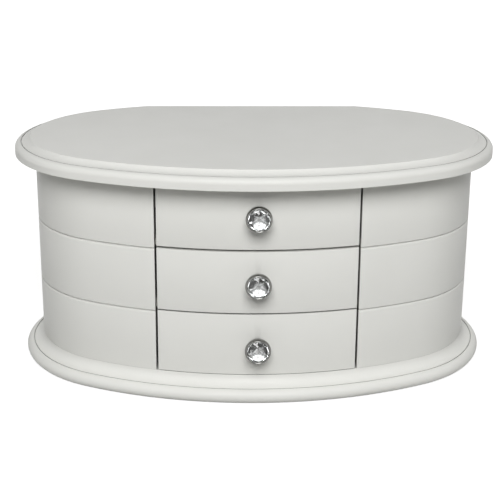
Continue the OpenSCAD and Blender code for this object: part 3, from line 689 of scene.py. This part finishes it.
# half the section of the disc under the feet, as (radius, height) in millimetres
FOOT_DISC = ((0, 7.2), (2.1, 7.2), (2.2, 8.6), (0, 8.7))
# grain of the remeshed eyes and lips, finer than the body's
FACE_VOXEL = 0.05


def make_dancer():
    """A generic dancer with raised arms, of simple forms fused into a few smooth skins."""
    skin = [
        chain([(0, 0, NECK - 2), (0, 0, HEAD - 1.5)], [1.1, 0.85]),
        blob((0, 0, HEAD), (2.05, 2.35, 2.75)),
        blob((0, -2.3, HEAD - 0.3), (0.28, 0.42, 0.5)),
        blob((0, -1.55, HEAD - 1.9), (0.85, 0.7, 0.6)),
        chain([(-2.3, 0, BUST + 2.2), (2.3, 0, BUST + 2.2)], [0.95, 0.95], 10),
    ]
    for s in (-1, 1):
        leg = [
            (s * 0.35, 0, FOOT + 2.5), (s * 0.8, 0.1, KNEE - 5),
            (s * 0.85, 0, KNEE), (s * 1.25, 0, WAIST),
        ]
        arm = [
            (s * 2.5, 0, BUST + 2.1), (s * 5.2, -0.5, HEAD - 1.5),
            (s * 4.2, -0.9, HEAD + 6), (s * 1.3, -1, HEAD + 10.6),
        ]
        skin += [
            chain(leg, [0.55, 1.05, 0.85, 1.75]),
            chain(arm, [0.8, 0.6, 0.5, 0.4]),
            blob((s * 0.95, -1.2, HEAD - 1.0), (0.55, 0.6, 0.6)),
        ]
    body = fused("dancer_skin", skin, MATERIALS["figure_plastic"], "figure_plastic")
    bodice = [
        blob((0, 0, WAIST + 0.2), (2.6, 2.0, 1.8)),
        chain([(0, 0, WAIST), (0, 0, WAIST + 2.6), (0, 0, BUST)], [2.15, 1.75, 2.15]),
        blob((-0.95, -0.95, BUST), (1.25, 1.1, 1.2)),
        blob((0.95, -0.95, BUST), (1.25, 1.1, 1.2)),
    ]
    fused("dancer_bodice", bodice, BODICE, "figure_plastic")
    slippers = [
        chain([(s * 0.35, 0, FOOT + 0.3), (s * 0.4, 0, FOOT + 3.4)], [0.5, 0.72]) for s in (-1, 1)
    ]
    fused("dancer_slippers", slippers, BODICE, "figure_plastic")
    hair = [
        blob((0, 0.45, HEAD + 0.55), (2.2, 2.25, 2.6)),
        blob((0, 1.3, HEAD + 3.0), (1.25, 1.2, 1.15)),
    ]
    fused("dancer_hair", hair, HAIR, "figure_plastic")
    for s, side in ((-1, "l"), (1, "r")):
        eye = blob((s * 0.75, -2.16, HEAD + 0.2), (0.32, 0.16, 0.14))
        fused(f"dancer_eye_{side}", [eye], FEATURE, "figure_plastic", FACE_VOXEL, 1)
    lips = blob((0, -2.12, HEAD - 1.35), (0.42, 0.2, 0.15))
    fused("dancer_lips", [lips], LIPS, "figure_plastic", FACE_VOXEL, 1)
    verts, faces = lathe(rounded(FOOT_DISC, 0.3), 48)
    disc = [folded(v) for v in verts]
    add("dancer_foot_disc", disc, faces, "dancer", BODICE, "figure_plastic", 50)
    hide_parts("dancer")


# each layer of the skirt: reach and drop of its hem in millimetres, and the phase of its ripples
SKIRT_LAYERS = ((10.6, 3.0, 0.0), (10.2, 1.6, 0.6), (9.4, 0.5, 1.3))
SKIRT_WAIST_R = 2.3
SKIRT_LIFT, SKIRT_STEP = 0.9, 0.35
SKIRT_RIPPLE, SKIRT_WAVES = 0.42, 24


def make_skirt():
    """Three gathered layers of stiff net."""
    rings, around = 12, 240
    for k, (reach, drop, turn) in enumerate(SKIRT_LAYERS):
        verts = []
        for i in range(rings + 1):
            t = i / rings
            r = SKIRT_WAIST_R + (reach - SKIRT_WAIST_R) * t
            for j in range(around):
                a = 2 * math.pi * j / around
                ripple = SKIRT_RIPPLE * t ** 1.4 * math.sin(SKIRT_WAVES * a + turn)
                height = WAIST + SKIRT_LIFT + SKIRT_STEP * (2 - k) - drop * t * t + ripple
                verts.append(folded((r * math.cos(a), r * math.sin(a), height)))
        faces = between_rings(rings, around)
        layer = add(f"skirt_layer_{k + 1}", verts, faces, "dancer", MATERIALS["net"], "net", 80)
    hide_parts("skirt")


# ---------- stage, lights and world ----------


FLOOR_HALF = 6.0
FLOOR_COLOUR = (0.45, 0.45, 0.44, 1)
# how bright the floor looks under the object, and where it starts and ends rising to white
FLOOR_GLOW = 0.80
FLOOR_NEAR, FLOOR_FAR = 0.28, 0.55
WORLD_LIGHT = 0.06
WORLD_COLOUR = (0.97, 0.98, 1.0, 1)


def seen_rays(nodes, links):
    """1 for a ray from the camera, off a glossy surface or through glass, and 0 for other rays."""
    paths = nodes.new("ShaderNodeLightPath")
    seen = nodes.new("ShaderNodeMath")
    seen.operation = "ADD"
    links.new(paths.outputs["Is Camera Ray"], seen.inputs[0])
    links.new(paths.outputs["Is Glossy Ray"], seen.inputs[1])
    also = nodes.new("ShaderNodeMath")
    also.operation = "ADD"
    also.use_clamp = True
    links.new(seen.outputs[0], also.inputs[0])
    links.new(paths.outputs["Is Transmission Ray"], also.inputs[1])
    return also.outputs[0]


def make_floor():
    size = FLOOR_HALF
    verts = [(-size, -size, 0), (size, -size, 0), (size, size, 0), (-size, size, 0)]
    mesh = bpy.data.meshes.new("floor")
    mesh.from_pydata(verts, [], [[0, 1, 2, 3]])
    floor = bpy.data.objects.new("floor", mesh)
    bpy.context.scene.collection.objects.link(floor)
    material = bpy.data.materials.new("pale_floor")
    material.use_nodes = True
    nodes, links = material.node_tree.nodes, material.node_tree.links
    nodes.clear()
    diffuse = nodes.new("ShaderNodeBsdfDiffuse")
    diffuse.inputs["Color"].default_value = FLOOR_COLOUR
    glow = nodes.new("ShaderNodeEmission")
    place = nodes.new("ShaderNodeTexCoord")
    away = nodes.new("ShaderNodeVectorMath")
    away.operation = "LENGTH"
    links.new(place.outputs["Object"], away.inputs[0])
    rise = nodes.new("ShaderNodeMapRange")
    rise.inputs["From Min"].default_value = FLOOR_NEAR
    rise.inputs["From Max"].default_value = FLOOR_FAR
    rise.inputs["To Min"].default_value = FLOOR_GLOW
    rise.inputs["To Max"].default_value = 1.0
    links.new(away.outputs["Value"], rise.inputs["Value"])
    strength = nodes.new("ShaderNodeMath")
    strength.operation = "MULTIPLY"
    links.new(rise.outputs["Result"], strength.inputs[1])
    links.new(seen_rays(nodes, links), strength.inputs[0])
    links.new(strength.outputs[0], glow.inputs["Strength"])
    both = nodes.new("ShaderNodeAddShader")
    links.new(diffuse.outputs[0], both.inputs[0])
    links.new(glow.outputs[0], both.inputs[1])
    out = nodes.new("ShaderNodeOutputMaterial")
    links.new(both.outputs[0], out.inputs["Surface"])
    mesh.materials.append(material)


def make_world():
    world = bpy.data.worlds.new("world")
    bpy.context.scene.world = world
    world.use_nodes = True
    nodes, links = world.node_tree.nodes, world.node_tree.links
    nodes.clear()
    lit, shown = nodes.new("ShaderNodeBackground"), nodes.new("ShaderNodeBackground")
    lit.inputs["Color"].default_value = WORLD_COLOUR
    lit.inputs["Strength"].default_value = WORLD_LIGHT
    shown.inputs["Color"].default_value = (1, 1, 1, 1)
    shown.inputs["Strength"].default_value = 1.0
    mix = nodes.new("ShaderNodeMixShader")
    links.new(seen_rays(nodes, links), mix.inputs[0])
    links.new(lit.outputs[0], mix.inputs[1])
    links.new(shown.outputs[0], mix.inputs[2])
    out = nodes.new("ShaderNodeOutputWorld")
    links.new(mix.outputs[0], out.inputs["Surface"])


LAMP_TARGET = (0, 0, 0.08)


def area_light(name, place, size, watts):
    data = bpy.data.lights.new(name, "AREA")
    data.shape, data.size, data.energy = "DISK", size, watts
    lamp = bpy.data.objects.new(name, data)
    lamp.location = place
    aim = Vector(LAMP_TARGET) - Vector(place)
    lamp.rotation_euler = aim.to_track_quat("-Z", "Y").to_euler()
    bpy.context.scene.collection.objects.link(lamp)
    return lamp


def make_lights():
    """A key from the front and above, weak fills, and a lamp for the stones and foil alone."""
    area_light("key", (-0.04, -1.36, 1.27), 1.0, 28.2)
    area_light("left_fill", (-1.5, -0.35, 0.75), 0.9, 2.2)
    area_light("right_fill", (1.5, -0.35, 0.75), 0.9, 2.2)
    behind = area_light("back_fill", (0.3, 1.7, 0.35), 1.2, 7)
    behind.visible_glossy = False
    card = area_light("stone_card", (0.0, -1.7, 0.5), 1.6, 18)
    card.light_linking.receiver_collection = STONES


# ---------- the whole ----------


def dress_nodes():
    """Gives every CAD node the material of its slot."""
    for node, obj in frame["nodes"].items():
        material = MATERIALS[SLOT_OF[node]]
        if not obj.data.materials:
            obj.data.materials.append(material)
        for i in range(len(obj.data.materials)):
            obj.data.materials[i] = material


dress_nodes()
make_camera()
make_woodwork()
for tier in TIERS:
    make_knob(tier)
make_linings()
make_rolls()
make_spring()
make_dancer()
make_skirt()
make_floor()
make_world()
make_lights()

bpy.context.scene.view_settings.view_transform = "Standard"
